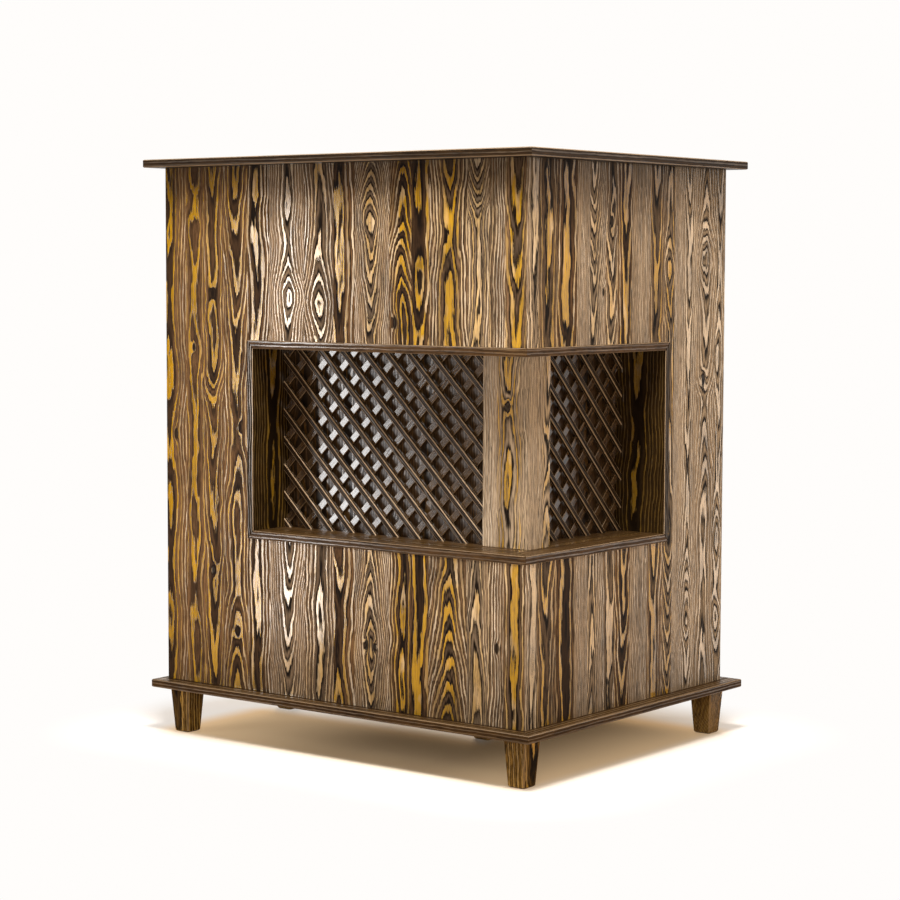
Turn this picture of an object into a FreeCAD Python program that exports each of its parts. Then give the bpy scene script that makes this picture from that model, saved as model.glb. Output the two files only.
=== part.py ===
"""Corner reception desk in edge-glued pine, with a latticed display niche round its outer corner.

The plan is an L. The front wing runs along X and faces -Y, the side wing runs along Y and faces +X, and the
staff stand in the inner corner. Millimetres, +Z up, origin on the floor under the middle of the outline.
"""
import FreeCAD, Part
import math
import os

import Sketcher

doc = FreeCAD.newDocument("reception_desk")

# Driving dimensions: name, millimetres (degrees for the angle), meaning
SIZES = [
    ("total_height", 1100, "floor to the face of the top board"),
    ("carcass_width", 850, "front face, without the overhangs"),
    ("carcass_depth", 650, "side face, without the overhangs"),
    ("front_wing_depth", 335, "front face to the staff edge of the front wing"),
    ("side_wing_depth", 335, "side face to the staff edge of the side wing"),
    ("panel_thickness", 15, "upright panels and partitions"),
    ("shelf_thickness", 15, "sill and head boards of the niche"),
    ("top_thickness", 15, "top board"),
    ("top_overhang", 30, "top board beyond the carcass, all round"),
    ("base_thickness", 15, "base board"),
    ("base_overhang", 30, "base board beyond the carcass, but for its left end"),
    ("base_left_overhang", 16, "base board beyond the left end of the carcass"),
    ("arris", 1.5, "chamfer on the free edges of the top and base boards"),
    ("foot_height", 87, "floor to the underside of the base board"),
    ("foot_top", 48, "side of a foot where it meets the base board"),
    ("foot_bottom", 36, "side of a foot at the floor"),
    ("foot_inset", 49, "centre of a foot from the edges of the base board"),
    ("foot_arris", 2.5, "chamfer on the arrises and the toe of a foot"),
    ("front_panel_width", 210, "full-height panel left of the niche"),
    ("rear_panel_width", 197, "full-height panel behind the niche, on the side face"),
    ("sill_height", 405, "floor to the face of the niche sill"),
    ("niche_height", 341, "sill to the underside of the niche head"),
    ("lining_thickness", 14, "upright linings at the ends of the niche"),
    ("lining_proud", 2, "front edges of sill, head and linings beyond the faces"),
    ("front_niche_depth", 100, "front face to the niche backing"),
    ("side_niche_depth", 108, "side face to the niche backing"),
    ("backing_thickness", 10, "boards behind the lattice"),
    ("slat_thickness", 7, "every lattice slat"),
    ("outer_slat_width", 10, "slats nearer the viewer"),
    ("inner_slat_width", 13, "slats on the backing"),
    ("slat_pitch", 37, "from slat to slat, square to the slats"),
    ("slat_angle", 45, "lean of the slats, in degrees"),
    ("front_outer_shift", 13, "outer front slats, off the middle of their panel"),
    ("front_inner_shift", 18, "inner front slats, off the middle of their panel"),
    ("side_outer_shift", -16, "outer side slats, off the middle of their panel"),
    ("side_inner_shift", 4, "inner side slats, off the middle of their panel"),
    ("post_front_setback", 75, "front face to the front of the post"),
    ("post_side_setback", 45, "side face to the right face of the post"),
    ("post_width", 103, "post along the front"),
    ("post_depth", 61, "post along the side"),
    ("cleat_size", 20, "square section of the shelf cleats"),
    ("cleat_end_gap", 25, "from a cleat's end to the staff edge of its panel"),
]

sheet = doc.addObject("Spreadsheet::Sheet", "sizes")
for row, (alias, value, meaning) in enumerate(SIZES, start=1):
    sheet.set(f"A{row}", alias)
    sheet.set(f"B{row}", str(value))
    sheet.setAlias(f"B{row}", alias)
    sheet.set(f"C{row}", meaning)
doc.recompute()


def size(alias):
    """The number in a cell of the sheet."""
    return float(sheet.get(alias))


def cell(alias):
    """A cell of the sheet, as an expression."""
    return f"sizes.{alias}"


# Planes of the desk as expressions on the sheet: the carcass faces first
LEFT = "(-sizes.carcass_width / 2)"
RIGHT = "(sizes.carcass_width / 2)"
FRONT = "(-sizes.carcass_depth / 2)"
REAR = "(sizes.carcass_depth / 2)"
STAFF_X = f"({RIGHT} - sizes.side_wing_depth)"
STAFF_Y = f"({FRONT} + sizes.front_wing_depth)"

# The inside of the upright panels
LEFT_INSIDE = f"({LEFT} + sizes.panel_thickness)"
RIGHT_INSIDE = f"({RIGHT} - sizes.panel_thickness)"
FRONT_INSIDE = f"({FRONT} + sizes.panel_thickness)"
REAR_INSIDE = f"({REAR} - sizes.panel_thickness)"

# Levels, from the floor up
BASE_UNDER = "sizes.foot_height"
BASE_FACE = "(sizes.foot_height + sizes.base_thickness)"
SILL_FACE = "sizes.sill_height"
SILL_UNDER = "(sizes.sill_height - sizes.shelf_thickness)"
HEAD_UNDER = "(sizes.sill_height + sizes.niche_height)"
HEAD_FACE = f"({HEAD_UNDER} + sizes.shelf_thickness)"
TOP_UNDER = "(sizes.total_height - sizes.top_thickness)"
TOP_FACE = "sizes.total_height"

# The niche: its ends, its backing and the post in its corner
NICHE_LEFT = f"({LEFT} + sizes.front_panel_width)"
NICHE_REAR = f"({REAR} - sizes.rear_panel_width)"
LINING_LEFT = f"({NICHE_LEFT} + sizes.lining_thickness)"
LINING_REAR = f"({NICHE_REAR} - sizes.lining_thickness)"
BACKING_Y = f"({FRONT} + sizes.front_niche_depth)"
BACKING_X = f"({RIGHT} - sizes.side_niche_depth)"
POST_FRONT = f"({FRONT} + sizes.post_front_setback)"
POST_REAR = f"({POST_FRONT} + sizes.post_depth)"
POST_RIGHT = f"({RIGHT} - sizes.post_side_setback)"
POST_LEFT = f"({POST_RIGHT} - sizes.post_width)"

subparts = []


def keep(feature, name):
    """Name a finished piece and list it for writing."""
    feature.Label = name
    subparts.append(feature)
    return feature


def bind(feature, **expressions):
    """Bind properties of a feature to expressions; a double underscore stands for a dot."""
    for prop, expression in expressions.items():
        feature.setExpression(prop.replace("__", "."), expression)


def block(name, x, y, z):
    """A rectangular board from (low, high) expressions along each axis."""
    box = doc.addObject("Part::Box", name)
    bind(box, Length=f"{x[1]} - {x[0]}", Width=f"{y[1]} - {y[0]}", Height=f"{z[1]} - {z[0]}")
    bind(box, Placement__Base__x=x[0], Placement__Base__y=y[0], Placement__Base__z=z[0])
    return box


def origin_plane(body, role):
    """One of a body's own origin planes."""
    return next(plane for plane in body.Origin.OriginFeatures if plane.Role == role)


def outline(body, name, corners, role="XY_Plane"):
    """A closed sketch on one of the body's origin planes, every corner placed by a pair of expressions."""
    sketch = body.newObject("Sketcher::SketchObject", name)
    sketch.AttachmentSupport = (origin_plane(body, role), [""])
    sketch.MapMode = "FlatFace"
    points = [[sheet_value(expression) for expression in corner] for corner in corners]
    count = len(corners)
    for index in range(count):
        start = FreeCAD.Vector(*points[index], 0)
        end = FreeCAD.Vector(*points[(index + 1) % count], 0)
        sketch.addGeometry(Part.LineSegment(start, end), False)
    for index in range(count):
        sketch.addConstraint(Sketcher.Constraint("Coincident", index, 2, (index + 1) % count, 1))
    for index, corner in enumerate(corners):
        for kind, expression, value in zip(("DistanceX", "DistanceY"), corner, points[index]):
            number = sketch.addConstraint(Sketcher.Constraint(kind, -1, 1, index, 1, value))
            label = f"{kind}_{index}"
            sketch.renameConstraint(number, label)
            sketch.setExpression(f"Constraints.{label}", expression)
    return sketch


def sheet_value(expression):
    """The present value of an expression on the sheet, for a sketch's first points."""
    return float(sheet.evalExpression(expression.replace("sizes.", "")))


def plan_board(name, corners, z):
    """A level or upright board whose shape shows in plan: an outline padded between two levels."""
    body = doc.addObject("PartDesign::Body", name)
    pad = body.newObject("PartDesign::Pad", f"{name}_pad")
    pad.Profile = outline(body, f"{name}_outline", corners)
    bind(pad, Length=f"{z[1]} - {z[0]}")
    bind(body, Placement__Base__z=z[0])
    return body


def ease_free_edges(body):
    """Chamfer the level edges of a mitred board, other than those on its mitre."""
    doc.recompute()
    pad = body.Tip
    names = []
    for index, edge in enumerate(pad.Shape.Edges, start=1):
        run = edge.Vertexes[1].Point - edge.Vertexes[0].Point
        level = abs(run.z) < 1e-6
        oblique = abs(run.x) > 1e-6 and abs(run.y) > 1e-6
        if level and not oblique:
            names.append(f"Edge{index}")
    chamfer = body.newObject("PartDesign::Chamfer", f"{body.Name}_arris")
    chamfer.Base = (pad, names)
    bind(chamfer, Size=cell("arris"))
    return body


def wing_boards(name, overhang, left_overhang, z):
    """The two boards of an L, mitred from the outer corner to the inner corner."""
    left, right = f"({LEFT} - {left_overhang})", f"({RIGHT} + {overhang})"
    front, rear = f"({FRONT} - {overhang})", f"({REAR} + {overhang})"
    staff_x, staff_y = f"({STAFF_X} - {overhang})", f"({STAFF_Y} + {overhang})"
    front_corners = [(left, front), (right, front), (staff_x, staff_y), (left, staff_y)]
    side_corners = [(right, front), (right, rear), (staff_x, rear), (staff_x, staff_y)]
    for wing, corners in (("front", front_corners), ("side", side_corners)):
        board = plan_board(f"{name}_{wing}", corners, z)
        keep(ease_free_edges(board), f"{name}_{wing}")


def lining_nose(name, role, corners, inside):
    """The front edge of an upright lining, mitred over the front edges of the sill and the head.

    It fills the opening through the panel's thickness and stands proud of the face.
    """
    body = doc.addObject("PartDesign::Body", name)
    pad = body.newObject("PartDesign::Pad", f"{name}_pad")
    pad.Profile = outline(body, f"{name}_outline", corners, role)
    bind(pad, Length="sizes.panel_thickness + sizes.lining_proud")
    body.setExpression("Placement.Base.y" if role == "XZ_Plane" else "Placement.Base.x", inside)
    return body


def niche_boards(name, z):
    """Sill or head of the niche: two mitred boards right through the carcass.

    Their outer edges show in the faces as the lining of the niche, cut back to the mitred noses of the
    upright linings. They pass behind the full-height panels to the ends of the wings, where they are
    shelves on the staff side.
    """
    front, right = f"({FRONT} - sizes.lining_proud)", f"({RIGHT} + sizes.lining_proud)"
    front_corners = [
        (LEFT_INSIDE, FRONT_INSIDE),
        (NICHE_LEFT, FRONT_INSIDE),
        (NICHE_LEFT, front),
        (right, front),
        (STAFF_X, STAFF_Y),
        (LEFT_INSIDE, STAFF_Y),
    ]
    side_corners = [
        (right, front),
        (right, NICHE_REAR),
        (RIGHT_INSIDE, NICHE_REAR),
        (RIGHT_INSIDE, REAR_INSIDE),
        (STAFF_X, REAR_INSIDE),
        (STAFF_X, STAFF_Y),
    ]
    for wing, corners, nose in (("front", front_corners, left_nose), ("side", side_corners, rear_nose)):
        board = doc.addObject("Part::Cut", f"{name}_{wing}")
        board.Base = plan_board(f"{name}_{wing}_blank", corners, z)
        board.Tool = nose
        keep(board, f"{name}_{wing}")


def corner_panels(name, z):
    """The front and side panels above or below the niche, mitred at the outer corner."""
    outer, inner = (RIGHT, FRONT), (RIGHT_INSIDE, FRONT_INSIDE)
    front_corners = [(NICHE_LEFT, FRONT), outer, inner, (NICHE_LEFT, FRONT_INSIDE)]
    side_corners = [outer, (RIGHT, NICHE_REAR), (RIGHT_INSIDE, NICHE_REAR), inner]
    keep(plan_board(f"front_{name}_panel", front_corners, z), f"front_{name}_panel")
    keep(plan_board(f"side_{name}_panel", side_corners, z), f"side_{name}_panel")


def eased_square(half):
    """Corners of a square of a given half side, with its corners cut off by the foot's arris."""
    near = f"({half} - sizes.foot_arris)"
    return [
        (f"-{near}", f"-{half}"),
        (near, f"-{half}"),
        (half, f"-{near}"),
        (half, near),
        (near, half),
        (f"-{near}", half),
        (f"-{half}", near),
        (f"-{half}", f"-{near}"),
    ]


def foot(name, x, y):
    """A tapered square foot under the base board, with eased arrises and a chamfered toe."""
    body = doc.addObject("PartDesign::Body", name)
    head_half = "(sizes.foot_top / 2)"
    toe_half = "(sizes.foot_bottom / 2)"
    sections = [
        ("sole", f"({toe_half} - sizes.foot_arris)", "0"),
        ("toe", toe_half, cell("foot_arris")),
        ("head", head_half, cell("foot_height")),
    ]
    sketches = []
    for end, half, height in sections:
        sketch = outline(body, f"{name}_{end}", eased_square(half))
        bind(sketch, AttachmentOffset__Base__z=height)
        sketches.append(sketch)
    taper = body.newObject("PartDesign::AdditiveLoft", f"{name}_taper")
    taper.Profile = sketches[0]
    taper.Sections = sketches[1:]
    taper.Ruled = True
    bind(body, Placement__Base__x=x, Placement__Base__y=y)
    return keep(body, name)


def lattice_layer(name, along, low, high, back, width, shift, lean):
    """One layer of parallel slats, trimmed to the panel between two ends, the sill and the head.

    along is the level axis of the panel (x or y), low and high are its ends, and back is the plane that the
    layer lies on. lean is +1 for slats that fall away from the low end and -1 for slats that rise.
    """
    lean_angle = "(sizes.slat_angle * 1deg)"
    length = f"({high} - {low} + sizes.niche_height)"
    middle = f"({low} + {high}) / 2"
    middle_z = f"{SILL_FACE} + sizes.niche_height / 2"
    if along == "x":
        turn = FreeCAD.Rotation()
        thickness = (f"({back} - sizes.slat_thickness)", back)
        start, window_x, window_y = thickness[0], (low, high), thickness
    else:
        turn = FreeCAD.Rotation(FreeCAD.Vector(0, 0, 1), 90)
        thickness = (back, f"({back} + sizes.slat_thickness)")
        start, window_x, window_y = thickness[1], thickness, (low, high)
    tilt = FreeCAD.Rotation(FreeCAD.Vector(0, 1, 0), lean * size("slat_angle"))
    level_axis, depth_axis = ("x", "y") if along == "x" else ("y", "x")

    # Enough slats on both sides of the middle to reach the corners of the panel
    angle = math.radians(size("slat_angle"))
    across = sheet_value(f"{high} - {low}") * math.sin(angle)
    half_reach = (across + size("niche_height") * math.cos(angle)) / 2
    steps = math.ceil((half_reach + abs(size(shift)) + size(width)) / size("slat_pitch"))

    slats = []
    for step in range(-steps, steps + 1):
        slat = doc.addObject("Part::Box", f"{name}_{step + steps + 1}")
        bind(slat, Length=length, Width=cell("slat_thickness"), Height=cell(width))
        # A box starts at its own corner: half a length and half a width short of the slat's middle
        off_middle = f"({step} * sizes.slat_pitch + sizes.{shift} - {lean} * sizes.{width} / 2)"
        level = f"{middle} + {off_middle} * sin({lean_angle}) - {length} / 2 * cos({lean_angle})"
        rise = f"({off_middle} * cos({lean_angle}) + {length} / 2 * sin({lean_angle}))"
        slat.Placement.Rotation = turn * tilt
        slat.setExpression(f"Placement.Base.{level_axis}", level)
        slat.setExpression(f"Placement.Base.{depth_axis}", start)
        slat.setExpression("Placement.Base.z", f"{middle_z} + {lean} * {rise}")
        slats.append(slat)
    bundle = doc.addObject("Part::Compound", f"{name}_bundle")
    bundle.Links = slats
    layer = doc.addObject("Part::Common", name)
    layer.Base = bundle
    layer.Tool = block(f"{name}_window", window_x, window_y, (SILL_FACE, HEAD_UNDER))
    return keep(layer, name)


# Feet: three along the outer faces, three on the staff side
FOOT_LEFT = f"({LEFT} - sizes.base_left_overhang + sizes.foot_inset)"
FOOT_RIGHT = f"({RIGHT} + sizes.base_overhang - sizes.foot_inset)"
FOOT_FRONT = f"({FRONT} - sizes.base_overhang + sizes.foot_inset)"
FOOT_REAR = f"({REAR} + sizes.base_overhang - sizes.foot_inset)"
FOOT_STAFF_X = f"({STAFF_X} - sizes.base_overhang + sizes.foot_inset)"
FOOT_STAFF_Y = f"({STAFF_Y} + sizes.base_overhang - sizes.foot_inset)"
foot("foot_outer_corner", FOOT_RIGHT, FOOT_FRONT)
foot("foot_front_left", FOOT_LEFT, FOOT_FRONT)
foot("foot_side_rear", FOOT_RIGHT, FOOT_REAR)
foot("foot_staff_left", FOOT_LEFT, FOOT_STAFF_Y)
foot("foot_inner_corner", FOOT_STAFF_X, FOOT_STAFF_Y)
foot("foot_staff_rear", FOOT_STAFF_X, FOOT_REAR)

# Base board on the feet
wing_boards("base_board", cell("base_overhang"), cell("base_left_overhang"), (BASE_UNDER, BASE_FACE))

# Upright panels of the two outer faces and of the wing ends
FULL_HEIGHT = (BASE_FACE, TOP_UNDER)
keep(block("front_left_panel", (LEFT, NICHE_LEFT), (FRONT, FRONT_INSIDE), FULL_HEIGHT), "front_left_panel")
keep(block("side_rear_panel", (RIGHT_INSIDE, RIGHT), (NICHE_REAR, REAR), FULL_HEIGHT), "side_rear_panel")
corner_panels("lower", (BASE_FACE, SILL_UNDER))
corner_panels("upper", (HEAD_FACE, TOP_UNDER))
keep(block("left_end_panel", (LEFT, LEFT_INSIDE), (FRONT_INSIDE, STAFF_Y), FULL_HEIGHT), "left_end_panel")
keep(block("rear_end_panel", (STAFF_X, RIGHT_INSIDE), (REAR_INSIDE, REAR), FULL_HEIGHT), "rear_end_panel")

# Noses of the upright linings, mitred at both ends from the outer corner of the opening to the inner one
left_nose = lining_nose(
    "left_lining_nose",
    "XZ_Plane",
    [(NICHE_LEFT, SILL_UNDER), (LINING_LEFT, SILL_FACE), (LINING_LEFT, HEAD_UNDER), (NICHE_LEFT, HEAD_FACE)],
    FRONT_INSIDE,
)
rear_nose = lining_nose(
    "rear_lining_nose",
    "YZ_Plane",
    [(NICHE_REAR, SILL_UNDER), (NICHE_REAR, HEAD_FACE), (LINING_REAR, HEAD_UNDER), (LINING_REAR, SILL_FACE)],
    RIGHT_INSIDE,
)

# Sill and head of the niche, which are the staff's shelves behind it
niche_boards("sill_board", (SILL_UNDER, SILL_FACE))
niche_boards("head_board", (HEAD_UNDER, HEAD_FACE))

# Partitions over the inner foot, one in each storey
PARTITION = (STAFF_X, f"({STAFF_X} + sizes.panel_thickness)")
NICHE_STOREY = (SILL_FACE, HEAD_UNDER)
BEHIND_NICHE = f"({BACKING_Y} + sizes.backing_thickness)"
keep(block("partition_lower", PARTITION, (FRONT_INSIDE, STAFF_Y), (BASE_FACE, SILL_UNDER)), "partition_lower")
keep(block("partition_middle", PARTITION, (BEHIND_NICHE, STAFF_Y), NICHE_STOREY), "partition_middle")
keep(block("partition_upper", PARTITION, (FRONT_INSIDE, STAFF_Y), (HEAD_FACE, TOP_UNDER)), "partition_upper")

# Cleats under the shelf ends, fixed to the end panels
CLEAT_Y = (FRONT_INSIDE, f"({STAFF_Y} - sizes.cleat_end_gap)")
CLEAT_X = (f"({STAFF_X} + sizes.cleat_end_gap)", RIGHT_INSIDE)
for shelf, under in (("sill", SILL_UNDER), ("head", HEAD_UNDER)):
    cleat_z = (f"({under} - sizes.cleat_size)", under)
    left_x = (LEFT_INSIDE, f"({LEFT_INSIDE} + sizes.cleat_size)")
    rear_y = (f"({REAR_INSIDE} - sizes.cleat_size)", REAR_INSIDE)
    keep(block(f"{shelf}_cleat_left", left_x, CLEAT_Y, cleat_z), f"{shelf}_cleat_left")
    keep(block(f"{shelf}_cleat_rear", CLEAT_X, rear_y, cleat_z), f"{shelf}_cleat_rear")

# Upright linings at the ends of the niche: the mitred nose, and a board between the sill and the head
BACKING_INNER_X = f"({BACKING_X} - sizes.backing_thickness)"
left_board = block("left_lining_board", (NICHE_LEFT, LINING_LEFT), (FRONT_INSIDE, BEHIND_NICHE), NICHE_STOREY)
REAR_LINING_Y = (LINING_REAR, NICHE_REAR)
rear_board = block("rear_lining_board", (BACKING_INNER_X, RIGHT_INSIDE), REAR_LINING_Y, NICHE_STOREY)
for name, board, nose in (("left_lining", left_board, left_nose), ("rear_lining", rear_board, rear_nose)):
    lining = doc.addObject("Part::Fuse", name)
    lining.Base = board
    lining.Tool = nose
    lining.Refine = True
    keep(lining, name)

# Backing boards of the niche, between the linings
BACKING_DEPTH = (BACKING_Y, BEHIND_NICHE)
front_backing = block("front_backing", (LINING_LEFT, BACKING_X), BACKING_DEPTH, NICHE_STOREY)
keep(front_backing, "front_backing")
side_backing = block("side_backing", (BACKING_INNER_X, BACKING_X), (BEHIND_NICHE, LINING_REAR), NICHE_STOREY)
keep(side_backing, "side_backing")

# Post in the niche's corner: two staves seated on the backing boards
front_stave = block("post_front_stave", (POST_LEFT, POST_RIGHT), (POST_FRONT, BACKING_Y), NICHE_STOREY)
keep(front_stave, "post_front_stave")
side_stave = block("post_side_stave", (BACKING_X, POST_RIGHT), (BACKING_Y, POST_REAR), NICHE_STOREY)
keep(side_stave, "post_side_stave")

# Lattice: an inner layer on each backing and an outer layer across it
OUTER_Y = f"({BACKING_Y} - sizes.slat_thickness)"
OUTER_X = f"({BACKING_X} + sizes.slat_thickness)"
FRONT_SPAN = (LINING_LEFT, POST_LEFT)
SIDE_SPAN = (POST_REAR, LINING_REAR)
lattice_layer("front_inner_slats", "x", *FRONT_SPAN, BACKING_Y, "inner_slat_width", "front_inner_shift", -1)
lattice_layer("front_outer_slats", "x", *FRONT_SPAN, OUTER_Y, "outer_slat_width", "front_outer_shift", 1)
lattice_layer("side_inner_slats", "y", *SIDE_SPAN, BACKING_X, "inner_slat_width", "side_inner_shift", -1)
lattice_layer("side_outer_slats", "y", *SIDE_SPAN, OUTER_X, "outer_slat_width", "side_outer_shift", 1)

# Top board over the whole
wing_boards("top_board", cell("top_overhang"), cell("top_overhang"), (TOP_UNDER, TOP_FACE))

doc.recompute()
for feature in doc.Objects:
    if "Invalid" in feature.State or "Error" in feature.State:
        raise RuntimeError(f"{feature.Label} failed: {feature.State}")
for feature in subparts:
    if feature.Shape.isNull() or not feature.Shape.isValid():
        raise RuntimeError(f"{feature.Label} has no valid shape")

os.makedirs("parts", exist_ok=True)
for feature in subparts:
    feature.Shape.exportStep(f"parts/{feature.Label}.step")
print(len(subparts), "pieces written")
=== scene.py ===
"""Looks of a corner reception desk in burnt, brushed and lacquered pine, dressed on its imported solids."""
import math
import random

import bmesh
import bpy
from mathutils import Matrix, Vector


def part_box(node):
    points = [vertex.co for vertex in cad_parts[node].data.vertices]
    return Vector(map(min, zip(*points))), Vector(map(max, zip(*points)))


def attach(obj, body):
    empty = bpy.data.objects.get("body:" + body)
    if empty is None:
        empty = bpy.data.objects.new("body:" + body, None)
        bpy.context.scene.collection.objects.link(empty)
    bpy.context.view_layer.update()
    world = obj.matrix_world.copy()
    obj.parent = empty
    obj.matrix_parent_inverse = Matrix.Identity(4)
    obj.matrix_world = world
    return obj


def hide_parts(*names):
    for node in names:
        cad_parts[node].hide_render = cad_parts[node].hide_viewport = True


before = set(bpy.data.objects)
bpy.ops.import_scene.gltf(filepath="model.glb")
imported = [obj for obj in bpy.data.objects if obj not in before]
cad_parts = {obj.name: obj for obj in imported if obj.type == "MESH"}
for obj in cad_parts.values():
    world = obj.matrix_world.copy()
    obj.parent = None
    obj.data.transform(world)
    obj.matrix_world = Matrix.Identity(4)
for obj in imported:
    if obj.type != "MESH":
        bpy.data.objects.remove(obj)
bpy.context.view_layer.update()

# Feet: six tapered square blocks sawn from solid pine, with the grain upright. They are burnt, brushed and
# lacquered like the carcass, and screwed on through the base boards.
MM = 0.001


def linear(hex_colour):
    """An sRGB hex colour as linear red, green, blue and alpha."""
    shares = [int(hex_colour[place:place + 2], 16) / 255 for place in (1, 3, 5)]
    return (*[s / 12.92 if s <= 0.04045 else ((s + 0.055) / 1.055) ** 2.4 for s in shares], 1.0)


def add(tree, kind, inputs=(), out=0, **settings):
    """Add a node with its settings and its inputs by place or by name, and give one of its outputs."""
    node = tree.nodes.new(kind)
    for key, value in settings.items():
        setattr(node, key, value)
    for key, value in inputs.items() if isinstance(inputs, dict) else enumerate(inputs):
        if isinstance(value, bpy.types.NodeSocket):
            tree.links.new(value, node.inputs[key])
        else:
            node.inputs[key].default_value = value
    return node.outputs[out] if len(node.outputs) else node


MATH, VECTOR, NOISE, RANGE, MIX, SPLIT, ATTRIBUTE, CHANCE, PRINCIPLED, SURFACE = (f"ShaderNode{kind}" for kind in (
    "Math", "VectorMath", "TexNoise", "MapRange", "Mix", "SeparateXYZ", "Attribute", "TexWhiteNoise",
    "BsdfPrincipled", "OutputMaterial"))
TIMES, PLUS, TIMES_PLUS, OVER, LARGER = ({"operation": name} for name in (
    "MULTIPLY", "ADD", "MULTIPLY_ADD", "DIVIDE", "MAXIMUM"))
SMOOTH, COLOUR = {"interpolation_type": "SMOOTHSTEP"}, {"out": 2, "data_type": "RGBA"}
HEART_DEPTH, FIGURE_HALF, FIGURE_EDGE = 30.0, 9.0, 21.0
SEED_STEP, TONE_STEP = 17.3, 7.7
CHAR, SAPWOOD, BARE_LINE, BARE_ARRIS = "#120902", "#c4ac8e", "#f0dcc2", "#c2a684"


def blank_material(name):
    """A new material with an empty node tree, and that tree."""
    material = bpy.data.materials.new(name)
    material.use_nodes = True
    material.node_tree.nodes.clear()
    return material, material.node_tree


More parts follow.
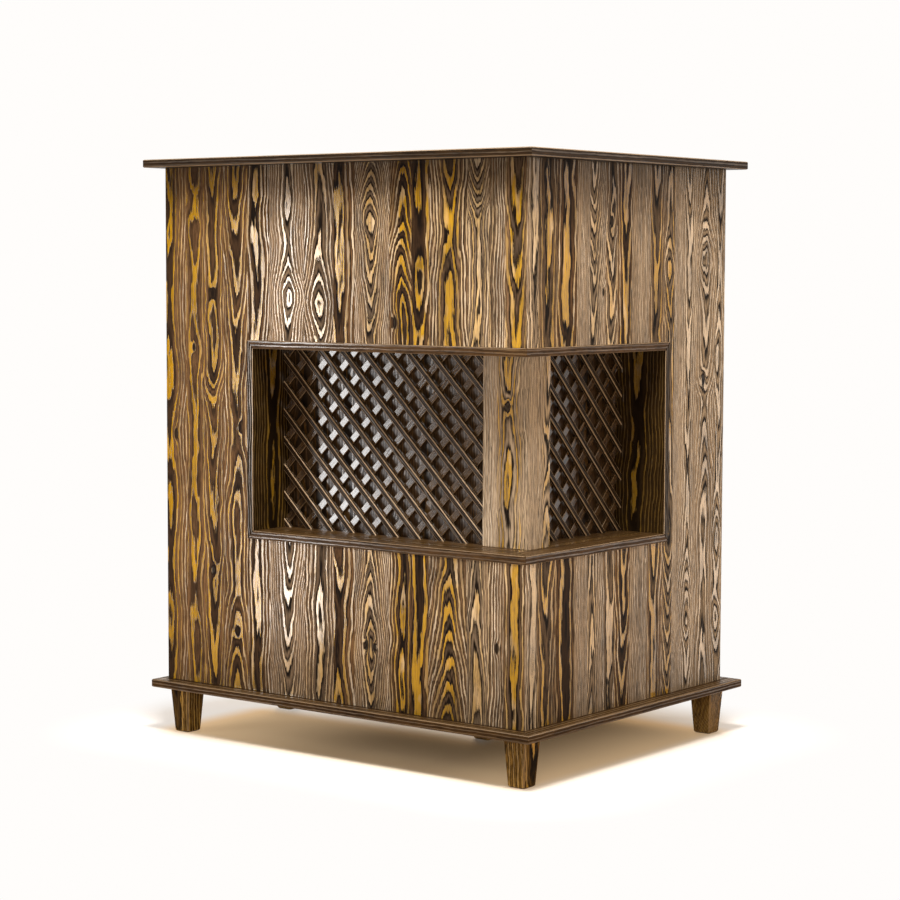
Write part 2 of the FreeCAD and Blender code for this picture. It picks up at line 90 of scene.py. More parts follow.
def burnt_pine(name, soft, mid, core, ridge, amber, gloss=0.15, relief=0.12, polish=0.0, wander=1.0, burn=1.0,
               bleach=0.0):
    """Pine whose soft early wood is burnt and brushed back, which leaves the late wood as raised, paler lines.

    soft and mid are the darkest and lightest early wood, core the early wood between arches, ridge a line of
    late wood and amber a flat patch of it. gloss is the lacquer's roughness, relief how deep the brush went,
    polish how much lacquer the early wood keeps, wander how far rings stray, burn how black the flame left
    the early wood, and bleach how bare some lines are.

    The grain attribute holds, in millimetres, the way across from the middle of the figure, the radius of the
    growth ring that shows in the middle, and the way along the grain. So rings come out as arches, eyes or
    straight lines. The stave attribute holds the ring width in millimetres, the share of amber and a seed,
    pale is the share of sapwood, and rubbed marks arrises worn back to bare wood. The third float attribute is
    painted shade: how far the colour darkens towards the ends of the staves, in place of the shade under the
    top and over the base. The knot attributes hold the way across and along from a knot, and its size, in
    millimetres.
    """
    material, tree = blank_material(name)
    grain, growth = (add(tree, ATTRIBUTE, out="Vector", attribute_name=read) for read in ("grain", "stave"))
    pale, rubbed, painted_end_shade = (add(tree, ATTRIBUTE, out="Fac", attribute_name=read) for read in ("pale", "rubbed", "painted_end_shade"))
    across, radius, along = add(tree, SPLIT, (grain,)).node.outputs
    ring, gold, seed = add(tree, SPLIT, (growth,)).node.outputs
    seed_run = add(tree, MATH, (seed, SEED_STEP), **TIMES)

    # The face is cut 30 mm from the heart of the log, so rings are wide arches in the middle of the figure and
    # close up to fine lines beside it. The middle sways a few millimetres over 150 mm.
    sway_run = add(tree, MATH, (along, 1 / 150, seed_run), **TIMES_PLUS)
    sway = add(tree, NOISE, {"W": sway_run, "Scale": 1.0, "Detail": 2.0}, noise_dimensions="1D")
    sway = add(tree, RANGE, (sway, 0.2, 0.8, -5.0 * wander, 5.0 * wander))
    across = add(tree, MATH, (across, sway), **PLUS)
    reach = add(tree, MATH, (across,), operation="ABSOLUTE")
    reach = add(tree, MATH, (reach, 1.5), **PLUS)
    arch = add(tree, MATH, (reach, reach, HEART_DEPTH ** 2), **TIMES_PLUS)
    arch = add(tree, MATH, (arch,), operation="SQRT")
    arch = add(tree, MATH, (arch, -HEART_DEPTH), **PLUS)
    radius = add(tree, MATH, (radius, arch), **PLUS)
    phase = add(tree, MATH, (radius, ring), **OVER)

    # Rings are uneven over a hand's length, ripple over a finger's, and are frayed by the brush along fibres. The
    # first two hold right through the board.
    through = 1e6
    for wide, deep, long, swing in (
            (28, through, 150, 0.4 * wander), (9, through, 55, 0.1 * wander), (1.6, 3, 26, 0.11)):
        place = add(tree, VECTOR, (grain, (1 / wide, 1 / deep, 1 / long)), **TIMES)
        noise = add(tree, NOISE, {"Vector": place, "Scale": 1.0, "Detail": 2.0})
        noise = add(tree, RANGE, (noise, 0.25, 0.75, -swing, swing))
        phase = add(tree, MATH, (phase, noise), **PLUS)

    # A knot pushes the rings aside in ovals about twice as long as wide
    hearts = []
    for knot_name in ("knot_a", "knot_b"):
        knot = add(tree, ATTRIBUTE, out="Vector", attribute_name=knot_name)
        knot_across, knot_along, knot_size = add(tree, SPLIT, (knot,)).node.outputs
        wide = add(tree, MATH, (knot_across, knot_size), **OVER)
        long = add(tree, MATH, (knot_along, knot_size), **OVER)
        long = add(tree, MATH, (long, 0.5), **TIMES)
        wide_square = add(tree, MATH, (wide, wide), **TIMES)
        spread = add(tree, MATH, (long, long, wide_square), **TIMES_PLUS)
        spread = add(tree, MATH, (spread, -1.0), **TIMES)
        near = add(tree, MATH, (spread,), operation="EXPONENT")
        push = add(tree, MATH, (near, knot_size), **TIMES)
        push = add(tree, MATH, (push, ring), **OVER)
        phase = add(tree, MATH, (push, 0.8, phase), **TIMES_PLUS)
        hearts.append(add(tree, RANGE, (near, 0.45, 0.75, 0.0, 0.85), **SMOOTH))
    heart = add(tree, MATH, tuple(hearts), **LARGER)

    # Each ring has its own share of late wood, with charred early wood running up to it and a dark line after
    share = add(tree, MATH, (phase,), operation="FRACT")
    count = add(tree, MATH, (phase,), operation="FLOOR")
    count = add(tree, MATH, (count, seed_run), **PLUS)
    other_count = add(tree, MATH, (count, TONE_STEP), **PLUS)
    ring_chance = add(tree, CHANCE, {"W": count}, noise_dimensions="1D")
    ring_tone = add(tree, CHANCE, {"W": other_count}, noise_dimensions="1D")
    late_from = add(tree, RANGE, (ring_chance, 0.0, 1.0, 0.49, 0.67))
    late_rise = add(tree, MATH, (late_from, 0.09), **PLUS)
    char_from = add(tree, MATH, (late_from, -0.3), **PLUS)
    rise = add(tree, RANGE, (share, late_from, late_rise, 0.0, 1.0), **SMOOTH)
    fall = add(tree, RANGE, (share, 0.92, 0.98, 1.0, 0.0), **SMOOTH)
    late = add(tree, MATH, (rise, fall), **TIMES)
    before_most = add(tree, RANGE, (reach, FIGURE_HALF, FIGURE_EDGE, 0.95 * burn, 0.85 * burn))
    before = add(tree, RANGE, (share, char_from, late_from, 0.0, before_most), **SMOOTH)
    after = add(tree, RANGE, (share, 0.07, 0.3, burn, 0.0), **SMOOTH)
    charred = add(tree, MATH, (before, after), **LARGER)

    # Noise by its width, depth and length in millimetres: patches of burning, fibres, flecks, clouds of stain and
    # drifts of colour. A depth of zero holds right through the board.
    patch, fibre, fleck, cloud, tint = (
        add(tree, NOISE, {"Vector": add(tree, VECTOR, (grain, scale), **TIMES), "Scale": 1.0, "Detail": detail,
                          "Roughness": fray})
        for scale, detail, fray in (
            ((1 / 16, 0.0, 1 / 110), 1.0, 0.5), ((1 / 2.2, 1 / 4, 1 / 70), 3.0, 0.6),
            ((1 / 2.8, 1 / 4, 1 / 15), 1.0, 0.5), ((1 / 40, 0.0, 1 / 160), 2.0, 0.5),
            ((1 / 24, 0.0, 1 / 90), 1.0, 0.5)))

    # Rings take the burning unevenly: full contrast in the middle of the figure, fainter lines beside it
    middle = add(tree, RANGE, (reach, FIGURE_HALF, FIGURE_EDGE, 1.0, 0.0), **SMOOTH)
    patch = add(tree, RANGE, (patch, 0.38, 0.62, 0.65, 1.0))
    faint = add(tree, RANGE, (ring_tone, 0.0, 0.8, 0.65, 1.0))
    faint = add(tree, MATH, (faint, patch), **TIMES)
    strength = add(tree, MIX, {0: middle, 2: faint, 3: 1.0})
    late = add(tree, MATH, (late, strength), **TIMES)
    not_heart = add(tree, MATH, (1.0, heart), operation="SUBTRACT")
    late = add(tree, MATH, (late, not_heart), **TIMES)
    # Resinous staves, the ones with most amber, take less of the flame
    resin = add(tree, RANGE, (gold, 1.0, 1.5, 0.0, 1.0))
    spared = add(tree, MATH, (resin, -0.4, 1.0), **TIMES_PLUS)
    charred = add(tree, MATH, (charred, strength), **TIMES)
    charred = add(tree, MATH, (charred, spared), **TIMES)

    # Early wood: fibres 2 or 3 mm apart, streaked along the grain and broken by the brush into short flecks, and
    # clouds of stain over a hand's breadth
    fibre_share = add(tree, RANGE, (fibre, 0.42, 0.58, 0.0, 1.0))
    fleck_share = add(tree, RANGE, (fleck, 0.4, 0.6, 0.0, 1.0))
    fibre_share = add(tree, MIX, {0: 0.4, 2: fibre_share, 3: fleck_share})
    cloud_share = add(tree, RANGE, (cloud, 0.35, 0.65, 0.0, 1.0))
    stave_chance = add(tree, CHANCE, {"W": seed}, noise_dimensions="1D")
    soft_share = add(tree, RANGE, (stave_chance, 0.0, 1.0, -0.15, 0.15))
    for streak, weight in ((resin, 0.25), (fibre_share, 0.7), (cloud_share, 0.25), (ring_tone, 0.15)):
        soft_share = add(tree, MATH, (streak, weight, soft_share), **TIMES_PLUS, use_clamp=streak is ring_tone)
    colour = add(tree, MIX, {0: soft_share, 6: linear(soft), 7: linear(mid)}, **COLOUR)
    core_share = add(tree, RANGE, (ring_tone, 0.2, 0.8, 0.4, 0.95))
    core_share = add(tree, MATH, (core_share, middle), **TIMES)
    sap_share = add(tree, RANGE, (soft_share, 0.0, 1.0, 0.3, 1.0))
    sap_share = add(tree, MATH, (sap_share, pale), **TIMES)
    for cover, shade in ((core_share, core), (sap_share, SAPWOOD), (charred, CHAR)):
        colour = add(tree, MIX, {0: cover, 6: colour, 7: linear(shade)}, **COLOUR)

    # Late wood is amber where a ring lies flat in the face, and a tan line where it stands on edge, bare and
    # pale where the brush went deep. It turns from one to the other over a hand's length.
    amber_share = add(tree, RANGE, (reach, 10.0, 34.0, 1.2, 0.3))
    amber_share = add(tree, MATH, (amber_share, gold), **TIMES)
    tint = add(tree, RANGE, (tint, 0.36, 0.52, 0.6, 1.3))
    amber_share = add(tree, MATH, (amber_share, tint), **TIMES, use_clamp=True)
    bare = add(tree, RANGE, (ring_tone, 0.25, 0.6, 0.0, bleach))
    bare = add(tree, MATH, (bare, pale), **LARGER)
    sapwood = add(tree, MIX, {0: bare, 6: linear(ridge), 7: linear(BARE_LINE)}, **COLOUR)
    late_colour = add(tree, MIX, {0: amber_share, 6: sapwood, 7: linear(amber)}, **COLOUR)
    dusk = add(tree, RANGE, (fibre_share, 0.0, 0.6, 0.4, 0.0))
    dull = add(tree, RANGE, (cloud_share, 0.0, 0.8, 0.4, 0.0))
    dusk = add(tree, MATH, (dusk, dull), **PLUS)
    late_colour = add(tree, MIX, {0: dusk, 6: late_colour, 7: linear(soft)}, **COLOUR)
    colour = add(tree, MIX, {0: late, 6: colour, 7: late_colour}, **COLOUR)
    # Knot hearts go near-black, painted shade darkens the ends of the staves, and worn arrises go bare
    for cover, shade in ((heart, CHAR), (painted_end_shade, CHAR), (rubbed, BARE_ARRIS)):
        colour = add(tree, MIX, {0: cover, 6: colour, 7: linear(shade)}, **COLOUR)

    # Brushed relief of about half a millimetre under a lacquer that stays on the hard lines
    height = add(tree, MATH, (fibre_share, 0.3), **TIMES)
    height = add(tree, MATH, (late, height), **PLUS)
    normal = add(tree, "ShaderNodeBump", {"Strength": relief, "Distance": 0.6 * MM, "Height": height})
    lacquered = add(tree, RANGE, (late, 0.0, 1.0, polish, 1.0))
    rough = add(tree, RANGE, (lacquered, 0.0, 1.0, 0.5, gloss))
    shine = add(tree, RANGE, (lacquered, 0.0, 1.0, 0.08, 0.8))
    coat = add(tree, MATH, (lacquered, 0.5), **TIMES)
    shader = add(tree, PRINCIPLED, {
        "Base Color": colour, "Roughness": rough, "Specular IOR Level": shine, "Normal": normal, "IOR": 1.5,
        "Coat Weight": coat, "Coat Roughness": gloss})
    add(tree, SURFACE, (shader,))
    return material


def stave(start, middle, ring, run, amber=0.5, pale=0.0, knots=()):
    """One stave of a sheet, in millimetres, from its start to the start of the next.

    middle is the middle line of its figure and ring the width of a growth ring. run says which ring shows on
    that line at points along it: a falling count points the arches one way, a rising one the other, and a
    part of 0.6 to 0.95 lies in amber late wood. knots are (across, along, size).
    """
    return dict(start=start, middle=middle, ring=ring, run=run, amber=amber, pale=pale, knots=knots)


FIGURE_STEP = 90


def chance_staves(low, high, ends, seed, amber=0.5, widths=(45, 85), rings=(3.6, 5.8), drift=1.0):
    """Staves of chance widths and figures that fill a board from low to high, along its two ends."""
    draw = random.Random(seed)
    count = max(1, round((high - low) / (sum(widths) / 2)))
    shares = [draw.uniform(*widths) for _ in range(count)]
    made = []
    for place in range(count):
        start = low + (high - low) * sum(shares[:place]) / sum(shares)
        wide = (high - low) * shares[place] / sum(shares)
        middle = start + wide * draw.choice((0.5, 0.5, 0.4, 0.6, -0.3, 1.3))
        steps = max(2, round((ends[1] - ends[0]) / FIGURE_STEP))
        count_now, run = draw.uniform(1, 3), []
        for step in range(steps + 1):
            run.append((ends[0] + (ends[1] - ends[0]) * step / steps, count_now))
            count_now = max(0.3, count_now + drift * draw.choice((-1.1, -0.5, -0.2, 0.2, 0.5, 1.1)))
        made.append(stave(start, middle, draw.uniform(*rings), tuple(run), amber * draw.uniform(0.5, 1.4)))
    return made


def ring_at(run, place):
    """The ring count of a run at a place along it, on a smooth line through its points."""
    run = sorted(run)
    for step, ((low, low_count), (high, high_count)) in enumerate(zip(run, run[1:])):
        if place <= high:
            part = max(0.0, (place - low) / (high - low))
            before, after = run[max(step - 1, 0)], run[min(step + 2, len(run) - 1)]
            low_rate = (high_count - before[1]) / (high - before[0])
            high_rate = (after[1] - low_count) / (after[0] - low)
            ease = part * part * (3 - 2 * part)
            bend = (high - low) * part * (1 - part) * ((1 - part) * low_rate - part * high_rate)
            return low_count + (high_count - low_count) * ease + bend
    return run[-1][1]


def put(name, data):
    """A new object in the scene, at the origin."""
    piece = bpy.data.objects.new(name, data)
    bpy.context.scene.collection.objects.link(piece)
    return piece


VECTORS, NO_KNOT = ("grain", "stave", "knot_a", "knot_b"), (9000.0, 9000.0, 10.0)
RUN_STEP, PAINTED_SHADE_REACH, LOG_APART, LOG_COUNT = 18, 110, 1000, 7
WELD, FLAT, SHARP = 0.001 * MM, math.radians(1), 1.0
SQUARE_ON, SIDELONG = 0.85, 0.1
LEAST_STRIP, LEAST_CUT = 1.0, 0.5


def glued_board(node, along, across, face, staves, material, arris=0.5, rubbed=0.0, painted_shade_ends=()):
    """A board glued up from staves: the solid with eased arrises, cut into strips with their own grain.

    along and across are the axes of the grain and of the row of staves, and face is +1 or -1 for the side of
    the third axis that shows. rubbed is how far the arrises are worn to bare wood, and the last argument gives
    two places along the grain, each with a strength, towards which the colour darkens as painted shade, under
    the top and over the base. The board stands for its solid.
    """
    a, c = "xyz".index(along), "xyz".index(across)
    d = 3 - a - c
    low, high = (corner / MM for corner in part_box(node))
    face_at = high[d] if face > 0 else low[d]
    whole = bmesh.new()
    whole.from_mesh(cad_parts[node].data)
    bmesh.ops.remove_doubles(whole, verts=whole.verts, dist=WELD)
    bmesh.ops.dissolve_limit(whole, angle_limit=FLAT, verts=whole.verts, edges=whole.edges)
    sharp = [edge for edge in whole.edges if edge.calc_face_angle(0) > SHARP]
    bmesh.ops.bevel(whole, geom=sharp, offset=arris * MM, segments=1, affect="EDGES", clamp_overlap=True)
    points, faces, pales, worn, painted_end_shades = [], [], [], [], []
    values = {name: [] for name in VECTORS}
    ends = [one["start"] for one in staves[1:]] + [high[c]]
    for number, (one, stave_end) in enumerate(zip(staves, ends)):
        start, end = max(one["start"], low[c]), min(stave_end, high[c])
        if end - start < LEAST_STRIP:
            continue
        strip = whole.copy()
        steps = max(1, round((high[a] - low[a]) / RUN_STEP)) if len(one["run"]) > 2 else 1
        cuts = [(c, start, -1), (c, end, 1)]
        cuts += [(a, low[a] + (high[a] - low[a]) * step / steps, 0) for step in range(1, steps)]
        for side, at, way in cuts:
            if low[side] + LEAST_CUT < at < high[side] - LEAST_CUT:
                place, normal = Vector((0, 0, 0)), Vector((0, 0, 0))
                place[side], normal[side] = at * MM, way or 1
                parts = strip.verts[:] + strip.edges[:] + strip.faces[:]
                bmesh.ops.bisect_plane(strip, geom=parts, plane_co=place, plane_no=normal, clear_outer=way != 0)
                if way:
                    rims = [edge for edge in strip.edges if edge.is_boundary]
                    bmesh.ops.holes_fill(strip, edges=rims, sides=0)
                    bmesh.ops.recalc_face_normals(strip, faces=strip.faces)
        strip.verts.index_update()
        first = len(points)
        # A seed that no other stave of the board has
        seed = number * 1.37 + one["middle"] * 0.011
        knots = sorted(one["knots"], key=lambda knot: max(low[a] - knot[1], knot[1] - high[a]))[:2]
        for vert in strip.verts:
            points.append(vert.co.copy())
            spot = vert.co / MM
            behind = (face_at - spot[d]) * face
            count = ring_at(one["run"], spot[a])
            log_start = LOG_APART * (number % LOG_COUNT)
            values["grain"] += (spot[c] - one["middle"], count * one["ring"] + behind, spot[a] + log_start)
            values["stave"] += (one["ring"], one["amber"], seed)
            pales.append(one["pale"])
            # Painted shade: the colour darkens near each given place along the grain, up to its strength
            painted_end_shades.append(sum((most * max(0.0, 1 - abs(spot[a] - at) / PAINTED_SHADE_REACH) for at, most in painted_shade_ends), 0.0))
            for name, place in (("knot_a", 0), ("knot_b", 1)):
                if place < len(knots):
                    knot_across, knot_along, knot_size = knots[place]
                    values[name] += (spot[c] - knot_across, spot[a] - knot_along, knot_size)
                else:
                    values[name] += NO_KNOT
        for polygon in strip.faces:
            faces.append([first + vert.index for vert in polygon.verts])
            # An eased arris turns away from two axes and lies along the third
            turned = sorted(abs(part) for part in polygon.normal)
            worn.append(rubbed if turned[2] < SQUARE_ON and turned[0] < SIDELONG else 0.0)
        strip.free()
    whole.free()
    mesh = bpy.data.meshes.new(f"{node}_wood")
    mesh.from_pydata(points, [], faces)
    for name in VECTORS:
        mesh.attributes.new(name, "FLOAT_VECTOR", "POINT").data.foreach_set("vector", values[name])
    for name, domain, shares in (("pale", "POINT", pales), ("painted_end_shade", "POINT", painted_end_shades), ("rubbed", "FACE", worn)):
        mesh.attributes.new(name, "FLOAT", domain).data.foreach_set("value", shares)
    mesh.materials.append(material)
    piece = put(f"{node}_wood", mesh)
    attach(piece, "root")
    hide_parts(node)


# Burnt pine under a satin lacquer gives dark brown blocks streaked with honey
foot_pine = burnt_pine("burnt_pine_feet", "#261604", "#9e783a", "#2c1e0c", "#e0b874", "#dca832", gloss=0.2)
# For each foot: the axis across, the side that shows, the rings up the middle of the figure, how far aside that
# middle lies, the ring width and the share of amber
FEET = {
    "foot_outer_corner": ("y", 1, ((0, 0.62), (87, 0.8)), 4, 9.0, 1.0),
    "foot_front_left": ("x", -1, ((0, 0.7), (87, 1.05)), -6, 7.0, 0.7),
    "foot_side_rear": ("y", 1, ((0, 1.0), (87, 9.0)), 30, 3.2, 0.3),
    "foot_staff_left": ("x", -1, ((0, 2.0), (87, 1.4)), 38, 2.8, 0.4),
    "foot_inner_corner": ("y", 1, ((0, 1.0), (87, 1.4)), -36, 2.8, 0.4),
    "foot_staff_rear": ("x", -1, ((0, 2.4), (87, 2.0)), 40, 2.8, 0.4),
}
for foot_name, (across, face, run, aside, foot_ring, foot_amber) in FEET.items():
    foot_low, foot_high = (corner["xyz".index(across)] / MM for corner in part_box(foot_name))
    foot_stave = stave(foot_low, (foot_low + foot_high) / 2 + aside, foot_ring, run, foot_amber)
    glued_board(foot_name, "z", across, face, [foot_stave], foot_pine, arris=1.5, rubbed=0.25)

# Base boards: two 15 mm boards of edge-glued pine, mitred at the outer corner, with chamfered edges. They
# carry the panels, and the grain runs along each wing.
# Straight-grained, lightly burnt pine gives an even brown edge on which the rubbed arris shows pale
board_pine = burnt_pine("burnt_pine_boards", "#211306", "#4c351a", "#2c1c0b", "#644a28", "#6c4c1e", gloss=0.3,
                        relief=0.05, wander=0.15, burn=0.3)


def wing_boards(level, face, seed, amber, material, arris=0.5, rubbed=0.0):
    """The two mitred boards of a level, one along each wing, of wide staves with nearly straight grain."""
    for wing, along, across in (("front", "x", "y"), ("side", "y", "x")):
        node = f"{level}_board_{wing}"
        low, high = (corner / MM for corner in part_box(node))
        a, c = "xyz".index(along), "xyz".index(across)
        row = chance_staves(low[c], high[c], (low[a], high[a]), seed + c, amber, widths=(60, 110), rings=(5, 8),
                            drift=0.08)
        glued_board(node, along, across, face, row, material, arris, rubbed)


wing_boards("base", face=1, seed=11, amber=0.4, material=board_pine, rubbed=0.2)

# Outer panels: 15 mm sheets of edge-glued pine, burnt, brushed and lacquered. Each stave runs from the base
# to the top, above and below the niche, and most show the arches and eyes of a flat-sawn board.
# Deep burning gives near-black lines beside tan, bare and amber ones, whose lacquer mirrors the strip lights
panel_pine = burnt_pine("burnt_pine_panels", "#180d06", "#7e5c3a", "#2e1e10", "#dcb47c", "#be8e02", bleach=0.95)
FRONT_STAVES = [
    stave(-425, -417, 5.8, ((1085, 1.6), (1040, 1.75), (1000, 2.1), (960, 1.8), (900, 2.2), (800, 2.4), (740, 1.8),
          (660, 1.7), (620, 2.2), (540, 2.4), (480, 1.8), (420, 1.9), (330, 2.4), (250, 1.8), (180, 1.9), (102, 2.3)),
          1.5, knots=((-400, 578, 8),)),
    stave(-372, -350, 6.5, ((1085, 2.3), (1050, 2.5), (1030, 2.75), (1005, 2.62), (965, 2.3), (920, 2.58), (880, 2.75),
          (830, 2.8), (790, 2.65), (760, 2.4), (730, 2.3), (690, 2.5), (610, 2.68), (540, 2.85), (480, 2.7),
          (430, 2.4), (350, 2.6), (300, 2.8), (240, 2.6), (180, 2.3), (140, 2.6), (102, 2.85)), 1.5,
          knots=((-352, 745, 6),)),
    stave(-325, -302, 5.2, ((1085, 1.5), (1045, 1.85), (1010, 2.1), (870, 2.45), (830, 2.8), (800, 2.4), (740, 2.5),
          (700, 2.9), (670, 3.9), (640, 4.9), (560, 5.85), (410, 6.9), (275, 7.9), (145, 8.9), (102, 9.2)), 1.3,
          knots=((-303, 848, 6), (-303, 323, 7))),
    stave(-275, -243, 5.5, ((1085, 1.5), (1020, 1.9), (945, 2.9), (865, 3.9), (780, 4.85), (690, 5.75), (640, 6.1),
          (600, 6.3), (560, 6.2), (545, 5.8), (490, 5.2), (470, 4.8), (430, 4.3), (300, 4.9), (280, 4.7), (245, 3.8),
          (210, 3.2), (180, 2.8), (150, 2.2), (102, 1.6)), 1.3, knots=((-235, 598, 6), (-242, 210, 8))),
    stave(-215, -193, 5.2, ((1085, 2.1), (1050, 1.93), (1035, 1.75), (1015, 1.95), (1000, 2.0), (985, 1.93),
          (940, 1.75), (905, 1.93), (860, 2.2), (761, 2.5), (390, 1.9), (300, 1.8), (200, 2.1), (102, 2.4)), 0.7),
    stave(-160, -115, 4.2, ((1085, 3.2), (1043, 2.9), (1013, 2.65), (983, 2.9), (945, 3.3), (914, 2.9), (890, 2.3),
          (870, 1.5), (845, 0.6), (815, 1.4), (790, 1.9), (761, 2.2), (390, 2.0), (330, 2.9), (270, 3.9), (200, 4.9),
          (150, 5.8), (102, 6.6)), 0.2, 0.3),
    stave(-75, -38, 5.2, ((1085, 3.6), (1000, 3.2), (930, 2.8), (885, 2.0), (860, 1.2), (830, 0.5), (800, 1.2),
          (775, 1.9), (761, 2.3), (390, 2.1), (330, 1.9), (280, 1.72), (200, 1.75), (130, 1.85), (102, 2.1)), 0.5,
          0.2),
    stave(-5, 8, 7.8, ((1085, 2.2), (1055, 1.95), (1010, 1.7), (965, 1.86), (930, 1.72), (860, 1.75), (820, 1.95),
          (790, 2.2), (761, 2.35), (390, 1.3), (340, 1.6), (310, 1.92), (270, 2.3), (200, 2.3), (155, 1.92),
          (120, 1.65), (102, 1.5)), 1.0),
    stave(45, 82, 3.2, ((1085, 4.6), (1040, 2.6), (1010, 1.3), (980, 0.4), (950, 1.2), (900, 2.2), (850, 3.4),
          (800, 4.6), (761, 5.2), (390, 4.8), (300, 2.6), (250, 1.4), (215, 0.5), (180, 1.4), (102, 3.2)), 0.45, 0.2,
          ((72, 216, 7), (92, 214, 6))),
    stave(125, 156, 4.2, ((1085, 7.2), (1040, 6.0), (980, 5.0), (950, 4.0), (920, 3.0), (880, 2.0), (850, 1.0),
          (800, 0.5), (761, 0.6), (390, 2.1), (320, 1.9), (280, 1.72), (245, 1.92), (225, 2.0), (190, 1.72),
          (130, 1.85), (102, 2.0)), 0.85, knots=((137, 800, 8),)),
    stave(175, 191, 7.8, ((1085, 1.95), (1060, 1.9), (1010, 1.7), (965, 1.92), (945, 2.1), (925, 1.93), (880, 1.7),
          (845, 1.93), (800, 2.3), (761, 2.5), (390, 2.2), (250, 2.5), (102, 2.8)), 1.0),
    stave(215, 260, 5.8, ((1085, 1.4), (1060, 1.6), (1045, 1.9), (1030, 2.2), (990, 2.5), (965, 2.75), (950, 2.85),
          (935, 2.7), (920, 2.45), (900, 2.2), (885, 1.93), (840, 1.75), (800, 1.6), (780, 1.45), (761, 1.3),
          (390, 6.2), (320, 5.2), (290, 4.8), (250, 3.9), (210, 2.9), (170, 1.9), (130, 0.9), (102, 0.3)), 0.8, 0.1),
    stave(300, 320, 3.6, ((1085, 0.6), (1070, 1.0), (1045, 2.0), (1020, 3.0), (1000, 4.0), (985, 4.6), (965, 4.9),
          (930, 4.75), (850, 4.72), (790, 4.75), (761, 4.4), (390, 3.4), (300, 2.6), (200, 1.8), (102, 1.2)), 0.4,
          0.4),
    stave(345, 332, 4.5, ((1085, 1.0), (761, 2.0), (390, 2.6), (102, 3.4)), 0.3, 0.2, ((365, 240, 7),)),
    stave(380, 403, 5.8, ((1085, 1.25), (1030, 1.6), (985, 1.92), (960, 2.3), (920, 2.5), (895, 2.65), (870, 2.92),
          (850, 3.2), (800, 3.5), (761, 3.7), (390, 1.75), (250, 1.8), (102, 1.9)), 0.7, 0.1),
]
SIDE_STAVES = [
    stave(-325, -302, 4.5, ((1085, 1.6), (900, 1.9), (761, 2.3), (390, 2.6), (102, 2.9)), 0.3, 0.6),
    stave(-290, -262, 6.5, ((1085, 1.9), (1000, 1.72), (900, 1.9), (820, 2.1), (761, 2.3), (390, 1.2), (330, 1.6),
          (265, 1.92), (220, 2.3), (102, 2.6)), 0.9, 0.15),
    stave(-235, -205, 8.6, ((1085, 1.97), (1060, 1.93), (1000, 1.8), (940, 1.7), (860, 1.68), (820, 1.85), (800, 1.97),
          (761, 2.3), (390, 2.4), (250, 2.2), (102, 2.5)), 1.0),
    stave(-175, -195, 3.6, ((1085, 2.0), (761, 2.6), (390, 3.0), (190, 2.6), (102, 2.2)), 0.25, 0.5),
    stave(-135, -122, 3.6, ((1085, 0.5), (1030, 1.2), (980, 2.4), (930, 3.6), (880, 4.8), (820, 5.5), (761, 5.9),
          (390, 3.6), (300, 3.3), (240, 2.92), (180, 2.4), (102, 1.7)), 0.4, 0.5, ((-92, 855, 5),)),
    stave(-85, -65, 5.2, ((1085, 1.2), (1030, 0.9), (980, 0.4), (930, 1.3), (880, 1.95), (850, 2.5), (810, 2.95),
          (780, 3.4), (761, 3.6), (390, 2.2), (250, 2.6), (102, 3.0)), 0.4, 0.3, ((-65, 980, 6),)),
    stave(-48, -20, 5.2, ((1085, 1.4), (1040, 1.65), (980, 1.93), (950, 2.2), (880, 2.5), (820, 2.7), (761, 2.9),
          (390, 1.4), (330, 1.7), (290, 1.92), (260, 2.3), (230, 2.7), (200, 2.95), (170, 3.4), (140, 3.8),
          (102, 4.2)), 0.9),
    stave(0, -20, 4.5, ((1085, 1.3), (761, 1.9), (390, 2.4), (102, 3.0)), 0.3, 0.6),
    stave(60, 82, 5.2, ((1085, 1.45), (1050, 1.65), (1000, 1.93), (960, 2.3), (880, 2.7), (830, 2.9), (761, 3.2),
          (390, 1.7), (340, 1.9), (300, 2.2), (200, 2.6), (102, 2.8)), 0.9, 0.2),
    stave(110, 130, 4.5, ((1085, 2.9), (1000, 2.4), (950, 1.9), (920, 1.2), (895, 0.6), (860, 1.3), (820, 1.9),
          (761, 2.5), (390, 1.0), (340, 2.0), (300, 3.0), (250, 4.0), (200, 5.0), (150, 6.0), (102, 7.0)), 0.7, 0.4),
    stave(145, 196, 3.6, ((1085, 1.3), (1020, 1.9), (950, 2.5), (860, 3.0), (760, 3.6), (600, 4.4), (500, 4.9),
          (370, 4.0), (330, 3.0), (300, 2.2), (270, 1.5), (230, 0.9), (200, 1.9), (150, 2.6), (102, 3.2)), 0.15, 0.9),
    stave(225, 256, 5.8, ((1085, 4.6), (1040, 4.0), (990, 3.0), (960, 2.0), (935, 1.0), (910, 0.4), (880, 1.2),
          (840, 2.1), (780, 2.6), (730, 2.9), (690, 3.4), (650, 5.4), (590, 4.9), (530, 3.9), (480, 2.9), (420, 2.3),
          (340, 2.6), (260, 2.4), (200, 1.9), (150, 1.4), (102, 1.2)), 0.15, 0.85, ((250, 690, 9),)),
    stave(290, 304, 4.2, ((1085, 1.2), (1000, 1.9), (900, 2.6), (800, 1.9), (730, 0.6), (660, 1.8), (500, 2.6),
          (430, 1.6), (380, 0.6), (330, 1.5), (280, 1.7), (230, 0.6), (180, 1.6), (102, 2.4)), 0.1, 1.0),
]
